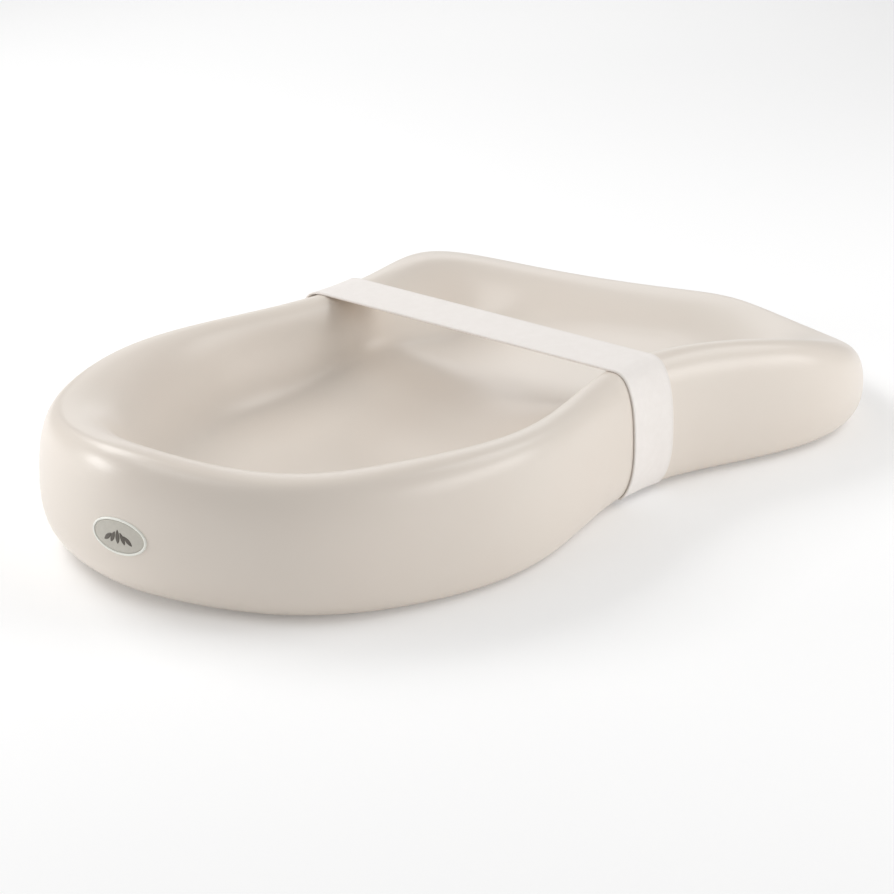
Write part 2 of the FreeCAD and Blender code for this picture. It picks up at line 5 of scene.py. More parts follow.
import bmesh
import bpy
import numpy as np
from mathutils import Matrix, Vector


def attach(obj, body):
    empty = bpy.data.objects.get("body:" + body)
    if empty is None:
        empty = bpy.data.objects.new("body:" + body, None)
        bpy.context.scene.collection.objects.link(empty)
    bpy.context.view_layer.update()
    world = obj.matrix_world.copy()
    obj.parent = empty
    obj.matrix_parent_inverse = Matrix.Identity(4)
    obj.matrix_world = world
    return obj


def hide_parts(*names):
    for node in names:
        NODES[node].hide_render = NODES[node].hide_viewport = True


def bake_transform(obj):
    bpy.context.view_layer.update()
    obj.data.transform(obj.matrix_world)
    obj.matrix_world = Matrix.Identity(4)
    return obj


MM = 0.001

# ---------------------------------------------------------------- the pad's surface
# The same curves as the CAD: a station angle runs from the head end (0) round to the foot
# end (pi, negative on the near side), and a ring number from the underside's edge (0) over
# the belly (1) and the rim's crest (2) to the edge of the bowl's floor (3).

PAD_LENGTH = 813 * MM
BASE_LIFT = 2 * MM
SPINE_SHARE = 0.54
TUCK = 0.9
ROLL = 1.35
SHOULDER = 0.8
STATIONS = {
    "half_width": [242, 263, 264, 244, 217, 181, 209, 278, 318, 282, 225],
    "rim_height": [122, 114, 112, 111, 113, 109, 78, 53, 52],
    "base_inset": [48, 27, 20, 28, 27, 36],
    "crest_inset": [21, 21, 22, 32, 27],
    "slope_width": [80, 90, 44, 84, 89],
}
FLOOR_HEIGHT = 37 * MM
SADDLE_X = 35 * MM
SADDLE_REACH = 75 * MM
SADDLE_RISE = (12 * MM, 26 * MM)
SADDLE_HALF_WIDTH = 90 * MM
BELLY_SHARE = (0.46, 0.43)
BISECTIONS = 45


def waves(ordinates):
    """Cosine amplitudes of an even curve through evenly spaced ordinates."""
    values = np.array(ordinates, float)
    last = len(values) - 1
    values[[0, -1]] *= 0.5
    steps = np.arange(last + 1)
    amplitudes = 2 / last * np.cos(math.pi / last * np.outer(steps, steps)) @ values
    amplitudes[[0, -1]] *= 0.5
    return amplitudes


WAVES = {name: waves(values) * MM for name, values in STATIONS.items()}
WAVES["belly_share"] = waves(BELLY_SHARE)


def curve(name, angle):
    """Value of one of the pad's curves at a station angle."""
    return sum(wave * np.cos(k * angle) for k, wave in enumerate(WAVES[name]))


def floor_height(x, y):
    """Height of the bowl's floor: flat, with a saddle across the waist, higher at its sides."""
    along = np.exp(-(((x - SADDLE_X) / SADDLE_REACH) ** 2))
    across = np.minimum(np.abs(y) / SADDLE_HALF_WIDTH, 1) ** 2
    middle, side = SADDLE_RISE
    return FLOOR_HEIGHT + along * (middle + (side - middle) * across)


def outline(angle):
    """The outline's point at an angle, and the unit direction from it to the spine."""
    x, y = -PAD_LENGTH / 2 * np.cos(angle), np.sin(angle) * curve("half_width", angle)
    gap = SPINE_SHARE * x - x
    length = np.hypot(gap, y)
    return x, y, (gap / length, -y / length)


def section(angle, ring):
    """Distance in from the outline, and height, of points named by angle and ring."""
    rim = curve("rim_height", angle)
    belly = curve("belly_share", angle) * rim
    crest = curve("crest_inset", angle)
    low = np.clip(ring, 0, 1) * math.pi / 2
    high = np.clip(ring - 1, 0, 1) * math.pi / 2
    share = np.clip(ring - 2, 0, 1)
    inward = curve("base_inset", angle) * (1 - np.sin(low) ** TUCK)
    inward = inward + crest * (1 - np.maximum(np.cos(high), 0) ** SHOULDER)
    inward = inward + curve("slope_width", angle) * share
    height = BASE_LIFT + (belly - BASE_LIFT) * (1 - np.maximum(np.cos(low), 0) ** TUCK)
    height = height + (rim - belly) * np.sin(high) ** SHOULDER
    x, y, to_spine = outline(angle)
    reach = crest + curve("slope_width", angle)
    drop = rim - floor_height(x + to_spine[0] * reach, y + to_spine[1] * reach)
    height = height - drop * (1 - np.cos(math.pi * share ** ROLL)) / 2
    return inward, height


def surface(angle, ring):
    """Points of the pad's surface, for arrays of station angles and ring numbers."""
    angle, ring = np.broadcast_arrays(np.asarray(angle, float), np.asarray(ring, float))
    inward, height = section(angle, ring)
    x, y, to_spine = outline(angle)
    return np.stack([x + to_spine[0] * inward, y + to_spine[1] * inward, height], -1)


def angle_at_x(x, ring):
    """Station angle on the far side at which a ring crosses a plane of constant x."""
    low = np.zeros(np.broadcast(x, ring).shape)
    high = low + math.pi
    for _ in range(BISECTIONS):
        middle = (low + high) / 2
        short = surface(middle, ring)[..., 0] < x
        low, high = np.where(short, middle, low), np.where(short, high, middle)
    return middle


FINE_STEPS = 2000


def even_rings(low, high, step, angle):
    """Ring numbers from low to high whose points lie about step apart."""
    fine = np.linspace(low, high, FINE_STEPS)
    points = surface(angle, fine)
    along = np.concatenate([[0], np.cumsum(np.linalg.norm(np.diff(points, axis=0), axis=1))])
    count = max(2, int(round(along[-1] / step)) + 1)
    return np.interp(np.linspace(0, along[-1], count), along, fine)


# ---------------------------------------------------------------- mesh helpers

def new_object(name, points, faces):
    """A mesh object in the scene, from points and faces."""
    mesh = bpy.data.meshes.new(name)
    mesh.from_pydata([tuple(point) for point in points], [], [tuple(face) for face in faces])
    mesh.update()
    made = bpy.data.objects.new(name, mesh)
    bpy.context.scene.collection.objects.link(made)
    return made


def grid_faces(rows, columns, close_rows=False, close_columns=False):
    """Quads of a grid whose vertices are numbered row by row."""
    faces = []
    for i in range(rows if close_rows else rows - 1):
        for j in range(columns if close_columns else columns - 1):
            ii, jj = (i + 1) % rows, (j + 1) % columns
            corners = ((i, j), (ii, j), (ii, jj), (i, jj))
            faces.append([a * columns + b for a, b in corners])
    return faces


MERGE = 1e-6
SMALL_MERGE = 1e-7


def tidy_mesh(made, merge=MERGE, sharp=None):
    """Merge doubled points, turn the faces outwards and shade them smoothly."""
    build = bmesh.new()
    build.from_mesh(made.data)
    bmesh.ops.remove_doubles(build, verts=build.verts, dist=merge)
    bmesh.ops.dissolve_degenerate(build, edges=build.edges, dist=SMALL_MERGE)
    bmesh.ops.recalc_face_normals(build, faces=build.faces)
    for face in build.faces:
        face.smooth = True
    for edge in build.edges:
        always = sharp is None or not edge.is_manifold
        edge.smooth = always or edge.calc_face_angle(0) < sharp
    build.to_mesh(made.data)
    build.free()


def paint(made, material):
    """Give the object this one material."""
    made.data.materials.clear()
    made.data.materials.append(material)


def joined(name, pieces):
    """One object from several lists of (points, faces)."""
    points, faces = [], []
    for more_points, more_faces in pieces:
        faces += [[index + len(points) for index in face] for face in more_faces]
        points += list(more_points)
    return new_object(name, points, faces)


def full_turn(count):
    """Evenly spaced angles of one full turn."""
    return np.linspace(0, 2 * math.pi, count, endpoint=False)


def prism(outline_points, shift):
    """A closed prism from a plane or bent outline and its copy moved by shift."""
    outline_points = np.asarray(outline_points)
    count = len(outline_points)
    points = np.concatenate([outline_points, outline_points + shift])
    faces = [[i, (i + 1) % count, count + (i + 1) % count, count + i] for i in range(count)]
    return points, faces + [list(range(count))[::-1], list(range(count, 2 * count))]


CUT_START = 10 * MM
DISC_SIDES = 64


def disc_prism(x, y, radius, top):
    """An upright cylinder from below the pad up to a height."""
    turn = full_turn(DISC_SIDES)
    edge = np.stack([x + radius * np.cos(turn), y + radius * np.sin(turn), 0 * turn - CUT_START], 1)
    return prism(edge, (0, 0, top + CUT_START))


def carve(made, cutter):
    """Cut the cutter's volume out of the mesh and drop the cutter."""
    tidy_mesh(cutter, merge=SMALL_MERGE)
    bpy.context.view_layer.objects.active = made
    modifier = made.modifiers.new("carve", "BOOLEAN")
    modifier.operation = "DIFFERENCE"
    modifier.solver = "EXACT"
    modifier.object = cutter
    bpy.ops.object.modifier_apply(modifier=modifier.name)
    bpy.data.objects.remove(cutter)


# ---------------------------------------------------------------- start

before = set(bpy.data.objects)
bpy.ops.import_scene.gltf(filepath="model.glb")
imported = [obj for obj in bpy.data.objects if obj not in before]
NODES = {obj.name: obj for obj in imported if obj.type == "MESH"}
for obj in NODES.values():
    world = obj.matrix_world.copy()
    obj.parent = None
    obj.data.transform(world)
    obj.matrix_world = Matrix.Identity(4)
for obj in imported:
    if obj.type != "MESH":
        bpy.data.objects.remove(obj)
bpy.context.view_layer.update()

# ---------------------------------------------------------------- the pad

PAD_COLUMNS = 400
TYPICAL_ANGLE = 1.1
WALL_STEP = 4 * MM
RIM_STEP = 3 * MM
SPINE_STEPS = 24
PAD_MERGE = 2e-5
# The crease where the slope meets the floor is eased over these ring numbers.
EASE_STEPS = 40
EASE_FROM, EASE_TO, EASE_FADE = 2.35, 3.85, 0.3


def build_pad():
    """The moulded block: wall, rim, bowl and underside as one closed smooth mesh."""
    angles = np.linspace(-math.pi, math.pi, PAD_COLUMNS, endpoint=False)[:, None]
    rings = np.concatenate([
        even_rings(0, 1, WALL_STEP, TYPICAL_ANGLE),
        even_rings(1, 2, RIM_STEP, TYPICAL_ANGLE)[1:],
        even_rings(2, 3, WALL_STEP, TYPICAL_ANGLE)[1:],
    ])
    wall = surface(angles, rings[None, :])
    x = outline(angles)[0]
    spine = np.stack([SPINE_SHARE * x, 0 * x, 0 * x], -1)
    share = np.linspace(0, 1, SPINE_STEPS)[None, 1:, None]
    floor_edge, base_edge = wall[:, -1:, :], wall[:, :1, :]
    floor = floor_edge + (spine - floor_edge) * share
    floor[..., 2] = floor_height(floor[..., 0], floor[..., 1])
    base = base_edge + (spine - base_edge) * share
    base[..., 2] = BASE_LIFT
    bowl = np.concatenate([wall, floor], axis=1)
    depth = np.concatenate([rings, 3 + share[0, :, 0]])
    ease = np.clip((depth - EASE_FROM) / EASE_FADE, 0, 1)
    ease = ease * np.clip((EASE_TO - depth) / EASE_FADE, 0, 1)
    for _ in range(EASE_STEPS):
        height = bowl[..., 2]
        spread = (height[:, :-2] + height[:, 2:]) / 2 - height[:, 1:-1]
        bowl[:, 1:-1, 2] += 0.5 * spread * ease[1:-1]
    points = np.concatenate([base[:, ::-1], bowl], axis=1)
    columns, rows = points.shape[:2]
    faces = grid_faces(columns, rows, close_rows=True)
    made = new_object("pad_body", points.reshape(-1, 3), faces)
    tidy_mesh(made, merge=PAD_MERGE)
    return made


STRAP_X = 28 * MM
CHANNEL_WIDTH = 56 * MM
CHANNEL_START = 88 * MM
CHANNEL_OUT = 300 * MM
CHANNEL_TOP = 7 * MM
FOOT_PLACE = (285 * MM, 95 * MM)
FOOT_RADIUS = 16 * MM
FOOT_TOP = 5 * MM
SCREW_Y = 116 * MM
SCREW_HOLE = 2.8 * MM
SCREW_HOLE_TOP = 20 * MM
BADGE_LENGTH = 53 * MM
BADGE_BREADTH = 29 * MM
BADGE_TURN = math.radians(2.6)
BADGE_HEIGHT = 60 * MM
BADGE_GAP = 0.2 * MM
BADGE_RECESS = 1.3 * MM
BADGE_CUT = 10 * MM
PAD_SHARP = math.radians(40)
RIM_COUNT = 160


class BadgePatch:
    """The stretch of wall under the badge: a point from its place along and up the wall."""

    STEP = 0.01
    SPREAD = (0.16, 0.4)
    SAMPLES = 25
    UNIT = 30 * MM
    POWERS = [(i, j) for i in range(4) for j in range(4 - i)]

    def __init__(self, angle, height):
        low, high = 0.0, 2.0
        for _ in range(BISECTIONS):
            ring = (low + high) / 2
            if surface(angle, ring)[2] < height:
                low = ring
            else:
                high = ring
        self.centre = surface(angle, ring)
        across = surface(angle, ring + self.STEP) - surface(angle, ring - self.STEP)
        along = surface(angle + self.STEP, ring) - surface(angle - self.STEP, ring)
        out = np.cross(across, along)
        self.out = out / np.linalg.norm(out)
        along = np.cross([0, 0, 1], self.out)
        self.along = along / np.linalg.norm(along)
        self.up = np.cross(self.out, self.along)
        wide, tall = [np.linspace(-spread, spread, self.SAMPLES) for spread in self.SPREAD]
        angles, rings = np.meshgrid(wide + angle, tall + ring)
        gap = surface(angles.ravel(), rings.ravel()) - self.centre
        terms = self.terms(gap @ self.along, gap @ self.up)
        self.bend = np.linalg.lstsq(terms, gap @ self.out, rcond=None)[0]

    def terms(self, along, up):
        """Powers of the place, up to the third."""
        along, up = along / self.UNIT, up / self.UNIT
        return np.stack([along**i * up**j for i, j in self.POWERS], -1)

    def points(self, along, up, rise):
        """Points at a distance along, up and out of the wall."""
        values = [np.asarray(value, float) for value in (along, up, rise)]
        along, up, rise = np.broadcast_arrays(*values)
        height = self.terms(along, up) @ self.bend + rise
        place = self.centre + along[..., None] * self.along + up[..., None] * self.up
        return place + height[..., None] * self.out


badge = BadgePatch(-BADGE_TURN, BADGE_HEIGHT)


def ellipse(length, breadth, count):
    """Places round an ellipse, as two arrays."""
    turn = full_turn(count)
    return length / 2 * np.cos(turn), breadth / 2 * np.sin(turn)


def pad_cutter():
    """The strap's two channels, four foot recesses, two screw holes and the badge's recess."""
    pieces = []
    half = CHANNEL_WIDTH / 2
    for side in (-1, 1):
        inner = [(-half, CHANNEL_START), (half, CHANNEL_START)]
        outer = [(half, CHANNEL_OUT), (-half, CHANNEL_OUT)]
        corners = [(STRAP_X + x, side * y, -CUT_START) for x, y in inner + outer]
        pieces.append(prism(corners, (0, 0, CHANNEL_TOP + CUT_START)))
        pieces.append(disc_prism(STRAP_X, side * SCREW_Y, SCREW_HOLE, SCREW_HOLE_TOP))
        for end in (-1, 1):
            x, y = end * FOOT_PLACE[0], side * FOOT_PLACE[1]
            pieces.append(disc_prism(x, y, FOOT_RADIUS, FOOT_TOP))
    along, up = ellipse(BADGE_LENGTH + BADGE_GAP, BADGE_BREADTH + BADGE_GAP, RIM_COUNT)
    pieces.append(prism(badge.points(along, up, -BADGE_RECESS), BADGE_CUT * badge.out))
    return pieces


pad = build_pad()
for piece in pad_cutter():
    carve(pad, joined("cutter", [piece]))
tidy_mesh(pad, sharp=PAD_SHARP)
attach(pad, "pad")
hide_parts("outer_skin", "foam_core")

# ---------------------------------------------------------------- badge

RIM_WIDTH = 2.0 * MM
RIM_RISE = 0.9 * MM
PLATE_RISE = 0.3 * MM
PLATE_GAP = 0.5 * MM
PLATE_LENGTH = BADGE_LENGTH - 2 * RIM_WIDTH - PLATE_GAP
PLATE_BREADTH = BADGE_BREADTH - 2 * RIM_WIDTH - PLATE_GAP
PLATE_COUNT = 120
BADGE_SINK = 1 * MM
LEAF_LENGTH = 11 * MM
LEAF_BREADTH = 4.4 * MM
LEAF_RISE = 0.4 * MM
LEAF_SINK = 0.2 * MM
LEAF_STEPS = 25
SIDE_LEAF_SIZE = 0.9
BADGE_SHARP = math.radians(50)


def build_badge_rim():
    """A half-round ring that stands on the wall."""
    turn = full_turn(RIM_COUNT)[:, None]
    major = (BADGE_LENGTH - RIM_WIDTH) / 2
    minor = (BADGE_BREADTH - RIM_WIDTH) / 2
    outwards = np.concatenate([minor * np.cos(turn), major * np.sin(turn)], 1)
    outwards /= np.linalg.norm(outwards, axis=1, keepdims=True)
    swing = np.linspace(0, math.pi, 13)
    half = RIM_WIDTH / 2
    out_of_middle = np.concatenate([half * np.cos(swing), [-half, half]])
    rise = np.concatenate([RIM_RISE * np.sin(swing) ** 0.8, [-BADGE_SINK, -BADGE_SINK]])
    along = major * np.cos(turn) + outwards[:, :1] * out_of_middle
    up = minor * np.sin(turn) + outwards[:, 1:] * out_of_middle
    points = badge.points(along, up, np.broadcast_to(rise, along.shape))
    rows, columns = along.shape
    faces = grid_faces(rows, columns, close_rows=True, close_columns=True)
    made = new_object("badge_ring", points.reshape(-1, 3), faces)
    tidy_mesh(made, sharp=BADGE_SHARP)
    return made


def build_badge_plate():
    """A thin oval plate with a rounded edge."""
    shares = np.array([0.002, 0.2, 0.4, 0.6, 0.8, 0.9, 0.95, 0.98, 0.995, 1.0, 1.0])
    rise = PLATE_RISE - np.array([0, 0, 0, 0, 0, 0, 0.02, 0.08, 0.2, 0.4, 1.3]) * MM
    along, up = ellipse(PLATE_LENGTH, PLATE_BREADTH, PLATE_COUNT)
    points = badge.points(along[:, None] * shares, up[:, None] * shares, rise[None, :])
    count, rings = points.shape[:2]
    faces = grid_faces(count, rings, close_rows=True)
    faces.append([i * rings for i in range(count)])
    faces.append([i * rings + rings - 1 for i in range(count)][::-1])
    made = new_object("badge_plaque", points.reshape(-1, 3), faces)
    tidy_mesh(made, sharp=BADGE_SHARP)
    return made


def leaf(place, lean):
    """One almond leaf with a ridge down its middle, as (points, faces)."""
    size = 1.0 if place == 0 else SIDE_LEAF_SIZE
    shares = np.linspace(0, 1, LEAF_STEPS)[:, None]
    sides = np.array([-1, -0.85, -0.5, -0.12, 0, 0.12, 0.5, 0.85, 1])[None, :]
    half = size * LEAF_BREADTH / 2 * np.sin(math.pi * shares**0.9) ** 0.75
    major = size * LEAF_LENGTH * (shares - 0.5) + 0 * sides
    minor = half * sides
    turn = math.radians(lean)
    along = place * LEAF_LENGTH / 2 + major * math.cos(turn) - minor * math.sin(turn)
    up = -0.08 * LEAF_LENGTH * abs(place) + major * math.sin(turn) + minor * math.cos(turn)
    profile = np.array([-0.3, 0.55, 0.85, 1.0, 0.55, 1.0, 0.85, 0.55, -0.3]) * LEAF_RISE
    top = badge.points(along, up, PLATE_RISE + profile[None, :] + 0 * major)
    base = badge.points(along, up, PLATE_RISE - LEAF_SINK + 0 * major)
    loop = np.concatenate([top, base[:, ::-1]], axis=1)
    rows, columns = loop.shape[:2]
    faces = grid_faces(rows, columns, close_columns=True)
    faces += [list(range(columns))[::-1], list(range((rows - 1) * columns, rows * columns))]
    return loop.reshape(-1, 3), faces


# Place in half leaf lengths from the middle, and lean in degrees.
LEAVES = [(-1.75, 40), (-0.85, 65), (0, 90), (0.85, 115), (1.75, 140)]
badge_ring = build_badge_rim()
badge_plaque = build_badge_plate()
badge_sprig = joined("badge_sprig", [leaf(place, lean) for place, lean in LEAVES])
tidy_mesh(badge_sprig, sharp=BADGE_SHARP)
BADGE_NODES = {"badge_rim": badge_ring, "badge_plate": badge_plaque, "badge_motif": badge_sprig}
for node, piece in BADGE_NODES.items():
    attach(piece, "pad")
    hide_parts(node)

# ---------------------------------------------------------------- strap

STRAP_WIDTH = 52 * MM
WEBBING = 1.6 * MM
STRAP_GAP = 0.3 * MM
END_OFFSET = 4.55 * MM
FOLD_Y = 158.7 * MM
UNDER_Z = 6.2 * MM
HEM_LENGTH = 12 * MM
HEM_EXTRA = 1.1 * MM
PATCH_BOTTOM = 56 * MM
PATCH_TOP = 90 * MM
PATCH_WIDTH = 44 * MM
THREAD = 0.45 * MM
STITCH_PITCH = 3.2 * MM
SEAM_INSET = 2.5 * MM
HEM_SEAM_HALF = 24 * MM
HEM_SEAM_SHARE = 0.75
HEM_FADE = 2 * MM
STRAP_ANGLE = 1.64
WALL_ROW_STEP = 1.5 * MM
ANCHOR_ROW_STEP = 2 * MM
UNDER_ROW_STEP = 3 * MM
SPAN_ROWS = 50
FOLD_REACH = 20 * MM
UNDER_START = 96 * MM
TURN_HEIGHT = 7.3 * MM
END_BOTTOM = 44 * MM
ANCHOR_TOP = 94 * MM
# The free end moves out from the wall between these ring numbers.
RAMP_START, RAMP_END = 1.95, 1.6
FOLD_INSET = 2 * MM
WIDTHS = np.array([-1, -0.994, -0.98, -0.95, -0.9, -0.8, -0.65, -0.5, -0.35, -0.2, -0.07])
WIDTHS = np.concatenate([WIDTHS, -WIDTHS[::-1]])


def wall_points(x, rings, offset):
    """Points over the far wall at constant x, moved outwards by offset, and the way out."""
    x, rings, offset = np.broadcast_arrays(x, rings, offset)
    step = 0.002
    low, high = np.maximum(rings - step, 0), np.minimum(rings + step, 2)
    along = surface(angle_at_x(x, high), high) - surface(angle_at_x(x, low), low)
    out = np.stack([0 * x, along[..., 2], -along[..., 1]], -1)
    out /= np.linalg.norm(out, axis=-1, keepdims=True)
    return surface(angle_at_x(x, rings), rings) + out * offset[..., None], out


def wall_rows(rings, offset):
    """Rows of points across the strap, over the far wall."""
    x = STRAP_X + WIDTHS[None, :] * STRAP_WIDTH / 2
    return wall_points(x, rings[:, None], offset[:, None])[0]


def tape_mesh(name, rows, thickness):
    """A woven tape through rows of points on its middle, with rounded edges and UVs in metres."""
    along = np.gradient(rows, axis=0)
    across = np.gradient(rows, axis=1)
    out = np.cross(across, along)
    out /= np.linalg.norm(out, axis=-1, keepdims=True)
    edge = np.ones(len(WIDTHS))
    edge[[0, -1]] = 0.35
    edge[[1, -2]] = 0.9
    edge[[2, 3, -3, -4]] = 1.12
    half = np.broadcast_to(thickness, len(rows))[:, None] / 2 * edge
    top = rows + out * half[..., None]
    bottom = rows - out * half[..., None]
    loop = np.concatenate([top, bottom[:, ::-1]], axis=1)
    count, size = loop.shape[:2]
    faces = grid_faces(count, size, close_columns=True)
    faces += [list(range(size))[::-1], list(range((count - 1) * size, count * size))]
    made = new_object(name, loop.reshape(-1, 3), faces)
    middle = rows[:, rows.shape[1] // 2]
    run = np.concatenate([[0], np.cumsum(np.linalg.norm(np.diff(middle, axis=0), axis=1))])
    u = np.tile(np.concatenate([WIDTHS, WIDTHS[::-1]]) * STRAP_WIDTH / 2, count)
    v = np.repeat(run, size)
    layer = made.data.uv_layers.new(name="weave")
    index = np.zeros(len(made.data.loops), np.int32)
    made.data.loops.foreach_get("vertex_index", index)
    layer.data.foreach_set("uv", np.stack([u[index], v[index]], 1).ravel())
    for polygon in made.data.polygons:
        polygon.use_smooth = len(polygon.vertices) == 4
    build = bmesh.new()
    build.from_mesh(made.data)
    bmesh.ops.recalc_face_normals(build, faces=build.faces)
    for edge in build.edges:
        edge.smooth = all(face.smooth for face in edge.link_faces)
    build.to_mesh(made.data)
    build.free()
    return made


def mirrored(rows):
    """The same rows on the near side."""
    return rows * [1, -1, 1]


def under_rows(first, inner_y):
    """Rows under the pad, from the screwed end out to the first row on the wall."""
    ys = np.arange(inner_y, first[0, 1] - FOLD_INSET, UNDER_ROW_STEP)
    rows = np.repeat(first[None], len(ys), axis=0)
    rows[..., 1] = ys[:, None]
    rows[..., 2] = UNDER_Z
    return rows


def top_rows(crest):
    """Rows from the middle of the span out to the crest, closer together at the fold."""
    near = np.arange(FOLD_Y - FOLD_REACH, FOLD_Y, WALL_ROW_STEP)
    ys = np.concatenate([np.linspace(0, FOLD_Y - FOLD_REACH, SPAN_ROWS, endpoint=False), near])
    share = ys[:, None] / FOLD_Y
    rows = np.repeat(crest[None], len(ys), axis=0)
    rows[..., 1] = crest[None, :, 1] * share
    return rows


def ring_of_height(height):
    """The ring, at the middle of the strap, whose point lies at this height."""
    rings = np.linspace(0, 2, FINE_STEPS + 1)
    heights = surface(angle_at_x(np.full(len(rings), STRAP_X), rings), rings)[:, 2]
    return float(np.interp(height, heights, rings))


turn_ring = ring_of_height(TURN_HEIGHT)
wall_rings = even_rings(turn_ring, 2, WALL_ROW_STEP, STRAP_ANGLE)
middle_offset = STRAP_GAP + WEBBING / 2
snug = wall_rows(wall_rings, np.full(len(wall_rings), middle_offset))
flat = top_rows(snug[-1])
under = under_rows(snug[0], UNDER_START)
near_rows = mirrored(np.concatenate([under, snug, flat[::-1]]))
strap_near = tape_mesh("strap_near", near_rows, WEBBING)

end_rings = even_rings(ring_of_height(END_BOTTOM), 2, WALL_ROW_STEP, STRAP_ANGLE)
ramp = np.clip((RAMP_START - end_rings) / (RAMP_START - RAMP_END), 0, 1)
step_out = END_OFFSET + WEBBING / 2 - middle_offset
end_offsets = middle_offset + step_out * ramp * ramp * (3 - 2 * ramp)
far_rows = np.concatenate([flat, wall_rows(end_rings, end_offsets)[::-1]])
centres = far_rows[:, far_rows.shape[1] // 2]
to_end = np.linalg.norm(np.diff(centres, axis=0), axis=1)[::-1].cumsum()[::-1]
to_end = np.concatenate([to_end, [0]])
hem = np.clip((HEM_LENGTH + HEM_FADE / 2 - to_end) / HEM_FADE, 0, 1)
hem_offsets = end_offsets + (hem[::-1] * HEM_EXTRA / 2)[: len(end_offsets)]
far_rows = np.concatenate([flat, wall_rows(end_rings, hem_offsets)[::-1]])
strap_far = tape_mesh("strap_far", far_rows, WEBBING + hem * HEM_EXTRA)

anchor_rings = even_rings(turn_ring, ring_of_height(ANCHOR_TOP), ANCHOR_ROW_STEP, STRAP_ANGLE)
anchored = wall_rows(anchor_rings, np.full(len(anchor_rings), middle_offset))
strap_anchor = tape_mesh("strap_anchor", np.concatenate([under, anchored]), WEBBING)

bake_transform(strap_near)
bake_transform(strap_far)
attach(strap_anchor, "pad")
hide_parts("strap_near_run", "strap_top_run")
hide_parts("strap_end_run")
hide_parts("strap_far_anchor")


def outer_face(across, ring):
    """A point on the outer face of the strap's free end, and the way out."""
    ring = np.asarray(ring, float)
    offset = np.interp(ring, end_rings, hem_offsets)
    extra = np.interp(ring, end_rings, (WEBBING + hem[::-1][: len(end_rings)] * HEM_EXTRA) / 2)
    return wall_points(STRAP_X + np.asarray(across, float), ring, offset + extra)


def stitch_row(corners):
    """Thread stitches, as (points, faces), along straight lines given as (across, ring)."""
    swing = full_turn(6)
    along = np.linspace(0, 1, 7)
    swell = np.array([0.3, 0.8, 1, 1, 1, 0.8, 0.3]) * THREAD
    lift = np.array([-0.6, 0.1, 0.5, 0.6, 0.5, 0.1, -0.6]) * THREAD
    made = []
    for (start_across, start_ring), (end_across, end_ring) in zip(corners, corners[1:]):
        ends, _ = outer_face([start_across, end_across], [start_ring, end_ring])
        count = max(1, round(float(np.linalg.norm(ends[1] - ends[0])) / STITCH_PITCH))
        for i in range(count):
            share = (i + 0.12 + 0.76 * along) / count
            across = start_across + (end_across - start_across) * share
            rings = start_ring + (end_ring - start_ring) * share
            line, out = outer_face(across, rings)
            run = np.gradient(line, axis=0)
            side = np.cross(run, out)
            side /= np.linalg.norm(side, axis=-1, keepdims=True)
            line = line + out * lift[:, None]
            loop = line[:, None] + swell[:, None, None] * (
                side[:, None] * np.cos(swing)[:, None] + out[:, None] * np.sin(swing)[:, None]
            )
            faces = grid_faces(len(along), len(swing), close_columns=True)
            made.append((loop.reshape(-1, 3), faces))
    return made


box_low = ring_of_height(PATCH_BOTTOM + SEAM_INSET)
box_high = ring_of_height(PATCH_TOP - SEAM_INSET)
box_side = PATCH_WIDTH / 2 - SEAM_INSET
hem_ring = ring_of_height(END_BOTTOM + HEM_LENGTH * HEM_SEAM_SHARE)
box_ends = [(-1, box_low), (1, box_low), (1, box_high), (-1, box_high), (-1, box_low)]
box_seam = stitch_row([(side * box_side, ring) for side, ring in box_ends])
hem_seam = stitch_row([(side * HEM_SEAM_HALF, hem_ring) for side in (-1, 1)])
strap_stitches = joined("strap_stitches", box_seam + hem_seam)
tidy_mesh(strap_stitches, merge=SMALL_MERGE)
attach(strap_stitches, "strap_end")

# ---------------------------------------------------------------- materials


def srgb(red, green, blue):
    """Linear colour from 0-255 sRGB."""
    def linear(value):
        value /= 255
        return value / 12.92 if value <= 0.04045 else ((value + 0.055) / 1.055) ** 2.4
    return linear(red), linear(green), linear(blue), 1.0


def plain(name, color, roughness):
    """A material of one colour and roughness."""
    material = bpy.data.materials.new(name)
    material.use_nodes = True
    shader = material.node_tree.nodes["Principled BSDF"]
    shader.inputs["Base Color"].default_value = color
    shader.inputs["Roughness"].default_value = roughness
    return material


